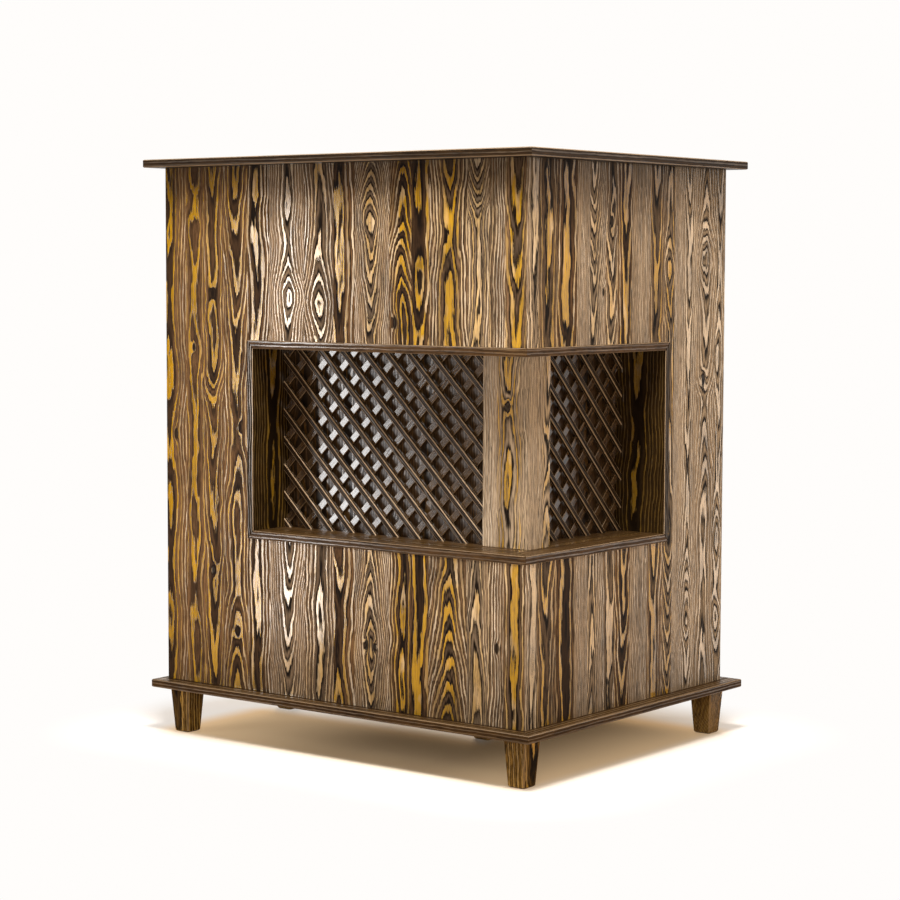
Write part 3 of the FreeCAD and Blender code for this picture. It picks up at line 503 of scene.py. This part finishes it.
# Painted shade: the colour darkens towards the ends of the staves, above the base and under the top, in place of the
# shade that falls there
UPRIGHT, PAINTED_SHADE_ENDS = (102, 1085), ((102, 0.35), (1085, 0.6))
LEFT_END_STAVES, REAR_END_STAVES = chance_staves(-310, 10, UPRIGHT, 21, 0.7), chance_staves(90, 410, UPRIGHT, 22, 0.7)
for across, face, row, nodes in (
        ("x", -1, FRONT_STAVES, ("front_left_panel", "front_upper_panel", "front_lower_panel")),
        ("y", 1, SIDE_STAVES, ("side_upper_panel", "side_lower_panel", "side_rear_panel")),
        ("y", -1, LEFT_END_STAVES, ("left_end_panel",)),
        ("x", 1, REAR_END_STAVES, ("rear_end_panel",))):
    for node in nodes:
        glued_board(node, "z", across, face, row, panel_pine, painted_shade_ends=PAINTED_SHADE_ENDS)

# Sill and head of the niche: 15 mm boards of edge-glued pine, mitred at the outer corner, whose edges stand 2 mm
# proud of the faces. Behind the niche they go on as the staff's shelves.
# The same brown as the base under a glossier lacquer gives the niche a quiet frame with a pale arris
shelf_pine = burnt_pine("lacquered_pine_shelves", "#231506", "#563b1d", "#2c1c0b", "#644a28", "#6c4c1e", gloss=0.2,
                        relief=0.05, polish=0.05, wander=0.15, burn=0.3)
for level, level_face, level_seed in (("sill", 1, 31), ("head", -1, 37)):
    wing_boards(level, level_face, level_seed, amber=0.45, material=shelf_pine, arris=0.8, rubbed=0.35)

# Partitions and shelf cleats of the staff side: 15 mm sheets of edge-glued pine that carry the boards at the inner
# corner, and 20 mm square battens screwed to the end panels under the shelves.
# A brown stain under a thin, half-matt finish leaves little contrast in the grain
inner_pine = burnt_pine("stained_pine_inside", "#261909", "#523a1e", "#24180b", "#624826", "#6e5122", gloss=0.4,
                        relief=0.05)
for number, storey in enumerate(("lower", "middle", "upper")):
    row = chance_staves(-310, 10, UPRIGHT, 41 + number)
    glued_board(f"partition_{storey}", "z", "y", -1, row, inner_pine)
LEFT_CLEAT = [stave(-410, -370, 3.0, ((-310, 1.2), (-15, 2.4)))]
REAR_CLEAT = [stave(290, 270, 3.0, ((115, 2.4), (410, 1.4)))]
for shelf in ("sill", "head"):
    glued_board(f"{shelf}_cleat_left", "y", "x", 1, LEFT_CLEAT, inner_pine, arris=1.0)
    glued_board(f"{shelf}_cleat_rear", "x", "y", 1, REAR_CLEAT, inner_pine, arris=1.0)

# Linings and backings of the niche: an upright pine board at each end, mitred into the sill and the head at the
# front, and 10 mm boards of edge-glued pine behind the lattice, held between the sill and the head.
# A nearly black stain lets a few dull gold rings show in the shade of the niche. The stain is partly painted shade: it
# is darker than the outer panels' to stand in for the niche's shade
lining_pine_and_shade = burnt_pine("burnt_pine_linings_and_shade", "#140c05", "#33230f", "#100904", "#4f3a18", "#7a5a12", gloss=0.25,
                         relief=0.08)
# The backing's half-gloss lacquer shows dim glints between the slats. Its dark brown is partly a stain and partly
# painted shade, standing in for the shadow in the holes of the lattice
backing_pine_and_shade = burnt_pine("stained_pine_backing_and_shade", "#1c1107", "#4a3218", "#1c1107", "#553b1c", "#5c421c", gloss=0.25,
                          relief=0.08, polish=0.35)
LINING_RUN = ((390, 2.3), (450, 1.9), (520, 1.7), (570, 1.95), (610, 2.3), (660, 1.9), (700, 1.65), (761, 1.4))
for node, across, face, start, middle, amber in (
        ("left_lining", "y", 1, -330, -270, 0.9), ("rear_lining", "x", -1, 300, 365, 0.8)):
    row = [stave(start, middle, 5.5, LINING_RUN, amber)]
    glued_board(node, "z", across, face, row, lining_pine_and_shade, arris=0.8, rubbed=0.6)
for node, across, face, low, high, seed in (
        ("front_backing", "x", -1, -201, 317, 51), ("side_backing", "y", 1, -215, 114, 52)):
    glued_board(node, "z", across, face, chance_staves(low, high, UPRIGHT, seed, 0.4), backing_pine_and_shade)

# Post in the niche's corner: two pine staves, butted at the corner and finished like the outer panels. They stand
# on the sill and carry the head.
POST_STAVES = [
    stave(270, 255, 4.5, ((405, 1.2), (746, 1.8)), 0.3, 1.0),
    stave(308, 334, 5.0, ((405, 2.2), (470, 1.9), (540, 1.7), (600, 2.1), (650, 2.3), (700, 1.8), (746, 1.6)), 1.0,
          0.85, ((332, 655, 7),)),
]
POST_RETURN = [stave(-230, -196, 5.0, ((405, 1.3), (470, 1.8), (520, 2.4), (580, 3.0), (650, 2.2), (746, 1.5)), 0.6,
                     1.0)]
glued_board("post_front_stave", "z", "x", -1, POST_STAVES, panel_pine, arris=0.8)
glued_board("post_side_stave", "z", "y", 1, POST_RETURN, panel_pine, arris=0.8)

# Lattice: two layers of thin slats at 45 degrees on each backing, the outer ones across the inner ones. The
# slats are planed from pine, stained dark, with eased arrises that catch the light.
# Planed and lacquered bright, each inner slat flashes grey where it faces the strip lights
inner_slat_pine = burnt_pine("stained_pine_inner_slats", "#2a1c10", "#5c452d", "#2a1c10", "#634a2e", "#6a4e2a",
                             gloss=0.13, relief=0.08, polish=0.9)
# The outer slats are dark and matt, with a thin pale line along each rubbed arris
outer_slat_pine = burnt_pine("stained_pine_outer_slats", "#160d06", "#332313", "#160d06", "#3e2c16", "#3f2c12",
                             gloss=0.5, relief=0.05)
JOIN, MOVED, STORED, CUT = (
    "ShaderNodeCombineXYZ", "GeometryNodeTransform", "GeometryNodeStoreNamedAttribute", "GeometryNodeMeshBoolean")


def shape_tree(name, output, **inputs):
    """A Geometry Nodes tree with an output and with named inputs, listed by kind, and its input sockets."""
    tree = bpy.data.node_groups.new(name, "GeometryNodeTree")
    for kind, socket_names in inputs.items():
        for socket_name in socket_names:
            tree.interface.new_socket(socket_name, in_out="INPUT", socket_type=f"NodeSocket{kind}")
    tree.interface.new_socket(output, in_out="OUTPUT", socket_type="NodeSocketGeometry")
    return tree, tree.nodes.new("NodeGroupInput").outputs


lattice, given = shape_tree(
    "lattice_layer", "Slats", Vector=("Middle",), Int=("Slat count", "Arris steps"), Material=("Wood",),
    Float=("Window width", "Window height", "Slat width", "Slat thickness", "Arris", "Rubbed", "Pitch", "Shift",
           "Lean", "Turn"))
# Slats lie level at first, one pitch apart up Z, long enough to cross the window's corners
slat_section = add(lattice, "GeometryNodeCurvePrimitiveQuadrilateral", {
    "Width": given["Slat thickness"], "Height": given["Slat width"]})
slat_section = add(lattice, "GeometryNodeFilletCurve", {
    "Curve": slat_section, "Count": given["Arris steps"], "Radius": given["Arris"]}, mode="POLY")
slat_length = add(lattice, MATH, (given["Window width"], given["Window height"]), **PLUS)
slat_ends = [add(lattice, JOIN, {"X": add(lattice, MATH, (slat_length, share), **TIMES)}) for share in (-0.5, 0.5)]
slat_line = add(lattice, "GeometryNodeCurvePrimitiveLine", {"Start": slat_ends[0], "End": slat_ends[1]})
one_slat = add(lattice, "GeometryNodeCurveToMesh", {
    "Curve": slat_line, "Profile Curve": slat_section, "Fill Caps": True})
last_slat = add(lattice, MATH, (given["Slat count"], -1.0), **PLUS)
half_rise = add(lattice, MATH, (last_slat, given["Pitch"]), **TIMES)
lowest = add(lattice, MATH, (half_rise, -0.5, given["Shift"]), **TIMES_PLUS)
slat_places = add(lattice, "GeometryNodeMeshLine", {
    "Count": given["Slat count"], "Start Location": add(lattice, JOIN, {"Z": lowest}),
    "Offset": add(lattice, JOIN, {"Z": given["Pitch"]})})
slats = add(lattice, "GeometryNodeInstanceOnPoints", {"Points": slat_places, "Instance": one_slat})
slats = add(lattice, "GeometryNodeRealizeInstances", {"Geometry": slats})
slats = add(lattice, MOVED, {"Geometry": slats, "Rotation": add(lattice, JOIN, {"Y": given["Lean"]})})
WINDOW_DEPTH = 0.1
window = add(lattice, "GeometryNodeMeshCube", {"Size": add(lattice, JOIN, {
    "X": given["Window width"], "Y": WINDOW_DEPTH, "Z": given["Window height"]})})
trimmed = add(lattice, CUT, {"Mesh 2": slats}, operation="INTERSECT", solver="EXACT")
lattice.links.new(window, trimmed.node.inputs["Mesh 2"])
# The grain runs along each slat, and every slat comes from another place in the log
SLAT_RING, SLAT_AMBER, LOG_ALONG_STEP, LOG_DEEP_STEP, FACE_ON = 3.0, 0.2, 331.0, 2.7, 0.97
place = add(lattice, "GeometryNodeInputPosition")
unlean = add(lattice, MATH, (given["Lean"], -1.0), **TIMES)
place = add(lattice, "ShaderNodeVectorRotate", {"Vector": place, "Angle": unlean}, rotation_type="Y_AXIS")
run_x, run_y, run_z = add(lattice, SPLIT, (place,)).node.outputs
from_shift = add(lattice, MATH, (run_z, given["Shift"]), operation="SUBTRACT")
slat_number = add(lattice, MATH, (from_shift, given["Pitch"]), **OVER)
half_step = add(lattice, MATH, (last_slat, 0.5), **TIMES)
slat_number = add(lattice, MATH, (slat_number, half_step), **PLUS)
slat_number = add(lattice, MATH, (slat_number,), operation="ROUND")
log_across = add(lattice, MATH, (run_z, 1 / MM), **TIMES)
log_along = add(lattice, MATH, (run_x, 1 / MM), **TIMES)
log_along = add(lattice, MATH, (slat_number, LOG_ALONG_STEP, log_along), **TIMES_PLUS)
log_deep = add(lattice, MATH, (run_y, 1 / MM), **TIMES)
log_deep = add(lattice, MATH, (slat_number, LOG_DEEP_STEP, log_deep), **TIMES_PLUS)
wood = trimmed
for name, value in (
        ("grain", add(lattice, JOIN, (log_across, log_deep, log_along))),
        ("stave", add(lattice, JOIN, (SLAT_RING, SLAT_AMBER, slat_number))),
        ("knot_a", NO_KNOT), ("knot_b", NO_KNOT)):
    wood = add(lattice, STORED, {"Geometry": wood, "Name": name, "Value": value}, data_type="FLOAT_VECTOR")
# Arrises are rubbed to bare wood: the narrow faces that turn away from both sides of the slat
facing = add(lattice, "GeometryNodeInputNormal")
facing = add(lattice, "ShaderNodeVectorRotate", {"Vector": facing, "Angle": unlean}, rotation_type="Y_AXIS")
facing = add(lattice, VECTOR, (facing,), operation="ABSOLUTE")
face_x, face_y, face_z = add(lattice, SPLIT, (facing,)).node.outputs
squarest = add(lattice, MATH, (face_y, face_z), **LARGER)
squarest = add(lattice, MATH, (squarest, face_x), **LARGER)
turned = add(lattice, MATH, (squarest, FACE_ON), operation="LESS_THAN")
turned = add(lattice, MATH, (turned, given["Rubbed"]), **TIMES)
wood = add(lattice, STORED, {"Geometry": wood, "Name": "rubbed", "Value": turned}, data_type="FLOAT", domain="FACE")
wood = add(lattice, MOVED, {
    "Geometry": wood, "Translation": given["Middle"], "Rotation": add(lattice, JOIN, {"Z": given["Turn"]})})
wood = add(lattice, "GeometryNodeSetMaterial", {"Geometry": wood, "Material": given["Wood"]})
add(lattice, "NodeGroupOutput", (wood,))


def by_nodes(name, tree, values):
    """The plain mesh object that a Geometry Nodes tree makes with its named inputs set."""
    piece = put(name, bpy.data.meshes.new(name))
    modifier = piece.modifiers.new("shape", "NODES")
    modifier.node_group = tree
    for socket in tree.interface.items_tree:
        if socket.in_out == "INPUT":
            modifier[socket.identifier] = values[socket.name]
    seen = piece.evaluated_get(bpy.context.evaluated_depsgraph_get())
    piece.data = bpy.data.meshes.new_from_object(seen)
    piece.modifiers.clear()
    piece.data.shade_flat()
    return piece


LEAN = math.radians(45)
EVERY_SLAT = {"Slat thickness": 7 * MM, "Pitch": 37 * MM, "Arris steps": 2, "Slat count": 21}
INNER_SLAT = {"Slat width": 13 * MM, "Arris": 1.0 * MM, "Rubbed": 0.2, "Lean": -LEAN, "Wood": inner_slat_pine}
OUTER_SLAT = {"Slat width": 10 * MM, "Arris": 1.4 * MM, "Rubbed": 0.65, "Lean": LEAN, "Wood": outer_slat_pine}
for node, slat, shift in (("front_inner_slats", INNER_SLAT, -18), ("front_outer_slats", OUTER_SLAT, 13),
                          ("side_inner_slats", INNER_SLAT, -4), ("side_outer_slats", OUTER_SLAT, -16)):
    low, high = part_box(node)
    size, on_front = high - low, node.startswith("front")
    layer = by_nodes(f"{node}_wood", lattice, {
        **EVERY_SLAT, **slat, "Shift": shift * MM, "Middle": (low + high) / 2, "Window height": size.z,
        "Window width": size.x if on_front else size.y, "Turn": 0.0 if on_front else math.pi / 2})
    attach(layer, "root")
    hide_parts(node)

# Top boards: two 15 mm boards of edge-glued pine, mitred at the outer corner, with chamfered edges. They
# overhang the carcass by 30 mm, and the grain runs along each wing.
# A dark stain under a satin lacquer gives a plain brown plank with dull glints along its lines
top_pine = burnt_pine("burnt_pine_top", "#180e04", "#3a260d", "#180e04", "#463114", "#543c14", gloss=0.5,
                      relief=0.05, polish=0.1, wander=0.15)
wing_boards("top", face=1, seed=61, amber=0.5, material=top_pine, rubbed=0.4)

# Screws: zinc-plated pan heads with a cross recess, driven through the cleats into the end panels and through
# the base boards into the feet. They show on the staff side only.
SCREW_SIZES = {"Head width": 8 * MM, "Head height": 2.2 * MM, "Recess length": 4.4 * MM, "Recess width": 1.1 * MM,
               "Recess depth": 1.4 * MM, "Sunk": 0.2 * MM}
zinc, zinc_tree = blank_material("zinc_plated_steel")
# Zinc passivate dulls in clouds about 3 mm across, so a head is a soft grey mirror with duller patches
zinc_place = add(zinc_tree, "ShaderNodeTexCoord", out="Object")
zinc_cloud = add(zinc_tree, NOISE, {"Vector": zinc_place, "Scale": 1 / (3 * MM), "Detail": 3.0})
zinc_colour = add(zinc_tree, MIX, {0: zinc_cloud, 6: linear("#9d9a92"), 7: linear("#c9c6bd")}, **COLOUR)
zinc_rough = add(zinc_tree, RANGE, (zinc_cloud, 0.3, 0.7, 0.45, 0.25))
zinc_shader = add(zinc_tree, PRINCIPLED, {"Base Color": zinc_colour, "Metallic": 1.0, "Roughness": zinc_rough})
add(zinc_tree, SURFACE, (zinc_shader,))
screws, given = shape_tree(
    "screw_row", "Screws", Vector=("First", "Step", "Turn"), Int=("Count", "Seed"), Material=("Metal",),
    Float=tuple(SCREW_SIZES))
# A head is the upper half of a flattened ball, with two crossed slots cut into its top
head_radius = add(screws, MATH, (given["Head width"], 0.5), **TIMES)
head_flat = add(screws, MATH, (given["Head height"], head_radius), **OVER)
head = add(screws, "GeometryNodeMeshUVSphere", {"Segments": 20, "Rings": 12, "Radius": head_radius})
head = add(screws, MOVED, {"Geometry": head, "Scale": add(screws, JOIN, {"X": 1.0, "Y": 1.0, "Z": head_flat})})
head_low = add(screws, MATH, (given["Head height"], -1.0), **TIMES)
under_size = add(screws, JOIN, {"X": given["Head width"], "Y": given["Head width"], "Z": given["Head height"]})
under_size = add(screws, VECTOR, (under_size, (2.0, 2.0, 2.0)), **TIMES)
under = add(screws, MOVED, {
    "Geometry": add(screws, "GeometryNodeMeshCube", {"Size": under_size}),
    "Translation": add(screws, JOIN, {"Z": head_low})})
slot_deep = add(screws, MATH, (given["Recess depth"], 2.0), **TIMES)
slot_size = add(screws, JOIN, {"X": given["Recess length"], "Y": given["Recess width"], "Z": slot_deep})
slot_lift = add(screws, JOIN, {"Z": given["Head height"]})
slots = [add(screws, MOVED, {
    "Geometry": add(screws, "GeometryNodeMeshCube", {"Size": slot_size}), "Translation": slot_lift,
    "Rotation": (0.0, 0.0, quarter * math.pi / 2)}) for quarter in (0, 1)]
head = add(screws, CUT, {"Mesh 1": head}, operation="DIFFERENCE", solver="EXACT")
for cutter in (under, *slots):
    screws.links.new(cutter, head.node.inputs["Mesh 2"])
sink = add(screws, MATH, (given["Sunk"], -1.0), **TIMES)
head = add(screws, MOVED, {"Geometry": head, "Translation": add(screws, JOIN, {"Z": sink})})
screw_places = add(screws, "GeometryNodeMeshLine", {
    "Count": given["Count"], "Start Location": given["First"], "Offset": given["Step"]})
# Each head stops at its own angle as the screw draws tight
spin = add(screws, "FunctionNodeRandomValue", {"Min": 0.0, "Max": math.pi / 2, "Seed": given["Seed"]}, out="Value")
spin = add(screws, JOIN, {"Z": spin})
driven = add(screws, "GeometryNodeInstanceOnPoints", {
    "Points": screw_places, "Instance": head, "Rotation": given["Turn"]})
driven = add(screws, "GeometryNodeRotateInstances", {"Instances": driven, "Rotation": spin})
driven = add(screws, "GeometryNodeRealizeInstances", {"Geometry": driven})
driven = add(screws, "GeometryNodeSetMaterial", {"Geometry": driven, "Material": given["Metal"]})
add(screws, "NodeGroupOutput", (driven,))
UP, TO_STAFF_RIGHT, TO_STAFF_FRONT = (0.0, 0.0, 0.0), (0.0, math.pi / 2, 0.0), (math.pi / 2, 0.0, 0.0)
BASE_FACE, FOOT_STEP = 102, (0, 16, 0)
SCREW_ROWS = {
    f"{foot}_foot_screws": ((*place, BASE_FACE), FOOT_STEP, 2, UP) for foot, place in (
        ("front_left", (-392, -300)), ("outer_corner", (394, -300)), ("side_rear", (394, 284)),
        ("staff_left", (-392, -17)), ("inner_corner", (118, -17)), ("staff_rear", (118, 284)))}
for end, place, step, screw_turn in (
        ("left", (-390, -270), (0, 105, 0), TO_STAFF_RIGHT), ("rear", (150, 290), (112, 0, 0), TO_STAFF_FRONT)):
    for shelf, height in (("sill", 380), ("head", 736)):
        SCREW_ROWS[f"{shelf}_{end}_cleat_screws"] = ((*place, height), step, 3, screw_turn)
for number, (row_name, (first, step, count, screw_turn)) in enumerate(SCREW_ROWS.items()):
    screw_row = by_nodes(row_name, screws, {
        **SCREW_SIZES, "First": Vector(first) * MM, "Step": Vector(step) * MM, "Count": count, "Turn": screw_turn,
        "Seed": number, "Metal": zinc})
    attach(screw_row, "root")

# Studio: a matt white floor that runs out to white, a soft light overhead and a little to the front, a weak one low
# at the corner, a warm fill from the walls, and two tall strip lights at the front left, which the lacquer mirrors
# to the camera. One more soft light shows the staff side from behind.
FLOOR_HALF, FLOOR_DROP, FADE_REACH, SHADE_REACH = 9.0, 0.0003, 0.3, 0.08
BACKDROP = "#fffdfb"
floor_mesh = bpy.data.meshes.new("studio_floor")
floor_corners = [(x * FLOOR_HALF, y * FLOOR_HALF, -FLOOR_DROP) for x, y in ((-1, -1), (1, -1), (1, 1), (-1, 1))]
floor_mesh.from_pydata(floor_corners, [], [(0, 1, 2, 3)])
studio_floor = put("studio_floor", floor_mesh)
# Matt white paint keeps the shadow under the desk, and glows to the camera's white away from it; near the desk the
# shadow's warm brown is painted, and so is a glow that lightens it at both ends
floor_paint, floor = blank_material("studio_floor_paint")
floor_place = add(floor, "ShaderNodeTexCoord", out="Object")
wing_apart = []
for wing_middle, wing_half in (((0.0, -0.19, 0.0), (0.40, 0.11, 0.0)), ((0.28, 0.0, 0.0), (0.12, 0.30, 0.0))):
    apart = add(floor, VECTOR, (floor_place, wing_middle), operation="SUBTRACT")
    apart = add(floor, VECTOR, (apart,), operation="ABSOLUTE")
    apart = add(floor, VECTOR, (apart, wing_half), operation="SUBTRACT")
    apart = add(floor, VECTOR, (apart, (0.0, 0.0, 0.0)), **LARGER)
    wing_apart.append(add(floor, VECTOR, (apart,), out="Value", operation="LENGTH"))
floor_apart = add(floor, MATH, tuple(wing_apart), operation="MINIMUM")
floor_fade = add(floor, RANGE, (floor_apart, 0.0, FADE_REACH, 0.0, 1.0), **SMOOTH)
# Lacquer mirrors the white sweep behind the desk, and not the dark room in front of it
floor_x, floor_y = add(floor, SPLIT, (floor_place,)).node.outputs[:2]
floor_behind = add(floor, RANGE, (floor_y, 0.0, 1.0, 0.0, 1.0))
floor_path = add(floor, "ShaderNodeLightPath").node.outputs
floor_mirrored = add(floor, MATH, (floor_path["Is Glossy Ray"], floor_behind), **TIMES)
floor_seen = add(floor, MATH, (floor_path["Is Camera Ray"], floor_mirrored), **LARGER)
# Painted light: the floor glows under and beside both ends of the desk, to the camera and in mirrors behind it,
# lightening the shadow there in place of light from the sweep coming in
painted_light_left = add(floor, RANGE, (floor_x, -0.45, 0.0, 0.5, 0.05), **SMOOTH)
painted_light_right = add(floor, RANGE, (floor_x, 0.15, 0.45, 0.05, 0.36), **SMOOTH)
painted_floor_light = add(floor, MATH, (painted_light_left, painted_light_right), **LARGER)
floor_fade = add(floor, MATH, (floor_fade, painted_floor_light), **LARGER)
floor_fade = add(floor, MATH, (floor_fade, floor_seen), **TIMES)
# Painted shade: under the desk and up to 8 cm around it, the paint and its glow turn a warm brown, the colour of the
# shadow there
painted_shade_fade = add(floor, RANGE, (floor_apart, 0.0, SHADE_REACH, 0.0, 1.0), **SMOOTH)
floor_colour_and_painted_shade = add(floor, MIX, {0: painted_shade_fade, 6: linear("#f0d6b0"), 7: linear("#f8f4ef")}, **COLOUR)
# The wood is lit by a duller floor than the camera sees, so that the underside stays dark
seen_floor = {0: floor_path["Is Camera Ray"], 6: linear("#8c7c6c"), 7: floor_colour_and_painted_shade}
floor_colour_and_painted_shade = add(floor, MIX, seen_floor, **COLOUR)
floor_matt = add(floor, PRINCIPLED, {"Base Color": floor_colour_and_painted_shade, "Roughness": 0.6, "Specular IOR Level": 0.0})
floor_glow_and_painted_shade = add(floor, MIX, {0: painted_shade_fade, 6: linear("#f6d2a4"), 7: linear(BACKDROP)}, **COLOUR)
floor_white = add(floor, "ShaderNodeEmission", (floor_glow_and_painted_shade, 1.0))
floor_mix = add(floor, "ShaderNodeMixShader", (floor_fade, floor_matt, floor_white))
add(floor, SURFACE, (floor_mix,))
floor_mesh.materials.append(floor_paint)

world = bpy.data.worlds.new("studio")
world.use_nodes = True
bpy.context.scene.world = world
world_tree = world.node_tree
world_tree.nodes.clear()
world_way = add(world_tree, "ShaderNodeTexCoord", out="Generated")
world_x, world_y, world_z = add(world_tree, SPLIT, (world_way,)).node.outputs
# The room is dark in front of the desk and white behind it, and its walls give a warm fill
mirrored = add(world_tree, RANGE, (world_y, -0.4, 0.6, 0.04, 0.7), **SMOOTH)
light_path = add(world_tree, "ShaderNodeLightPath").node.outputs
fill_level = add(world_tree, RANGE, (world_x, -0.5, 0.9, 0.13, 0.58), **SMOOTH)
fill_low = add(world_tree, MATH, (world_z,), operation="ABSOLUTE")
fill_low = add(world_tree, RANGE, (fill_low, 0.06, 0.2, 7.0, 1.0), **SMOOTH)
fill_level = add(world_tree, MATH, (fill_level, fill_low), **TIMES)
fill = add(world_tree, "ShaderNodeBackground", (linear("#f2d8b8"), fill_level))
shown = add(world_tree, MIX, {0: light_path["Is Camera Ray"], 2: mirrored, 3: 1.0})
seen_white = add(world_tree, "ShaderNodeBackground", (linear(BACKDROP), shown))
straight = add(world_tree, MATH, (light_path["Is Camera Ray"], light_path["Is Glossy Ray"]), **LARGER)
straight = add(world_tree, MATH, (straight, light_path["Is Transmission Ray"]), **LARGER)
world_mix = add(world_tree, "ShaderNodeMixShader", (straight, fill, seen_white))
add(world_tree, "ShaderNodeOutputWorld", (world_mix,))


def soft_light(name, place, target, size, watts, tint="#ffffff"):
    """A soft rectangular light that looks from a place at a target, in metres, and stays out of the picture."""
    lamp = bpy.data.lights.new(name, "AREA")
    lamp.shape = "RECTANGLE"
    lamp.size, lamp.size_y = size
    lamp.energy = watts
    lamp.color = linear(tint)[:3]
    holder = put(name, lamp)
    holder.location = place
    holder.rotation_mode = "QUATERNION"
    holder.rotation_quaternion = (Vector(target) - Vector(place)).to_track_quat("-Z", "Y")
    holder.visible_camera = False


soft_light("overhead", (1.0, -1.2, 3.0), (0.1, -0.1, 0.5), (0.7, 0.7), 132)
soft_light("low_corner", (1.0, -1.3, 0.6), (0.2, -0.3, 0.6), (0.5, 0.5), 4)
soft_light("staff_side", (-1.5, 1.7, 1.7), (0.1, -0.1, 0.5), (1.2, 1.2), 45, "#ffe6c8")
soft_light("strip_left", (-1.0, -1.35, 0.5), (-0.1, -0.3, 0.5), (0.18, 1.06), 6.6)
soft_light("strip_middle", (-0.45, -1.42, 0.5), (0.3, -0.3, 0.5), (0.22, 1.06), 0.7, "#ffe6cc")

# Camera: a long lens 0.9 m above the floor and 4.5 m away, turned towards the outer corner. Its angles and distance
# were fitted to the outlines of the top, body, base and feet.
AZIMUTH, ELEVATION, ROLL = (math.radians(angle) for angle in (37.5033, 4.5042, 0.1686))
DISTANCE, SIDE_SHIFT, AIM_HEIGHT = 4.52488, 0.009827, 0.546848
FOCAL_PIXELS, IMAGE_PIXELS = 2350.5, 900
back = Vector((math.sin(AZIMUTH) * math.cos(ELEVATION), -math.cos(AZIMUTH) * math.cos(ELEVATION),
               math.sin(ELEVATION)))
right = Vector((math.cos(AZIMUTH), math.sin(AZIMUTH), 0))
up = back.cross(right)
aim = right * SIDE_SHIFT + Vector((0, 0, AIM_HEIGHT))
turned_right = right * math.cos(ROLL) + up * math.sin(ROLL)
turned_up = up * math.cos(ROLL) - right * math.sin(ROLL)
camera_data = bpy.data.cameras.new("camera")
camera_data.sensor_width = 36
camera_data.lens = camera_data.sensor_width * FOCAL_PIXELS / IMAGE_PIXELS
camera = put("camera", camera_data)
turn = Matrix((turned_right, turned_up, back)).transposed().to_4x4()
camera.matrix_world = Matrix.Translation(aim + back * DISTANCE) @ turn
bpy.context.scene.camera = camera

bpy.context.scene.view_settings.view_transform = "Standard"
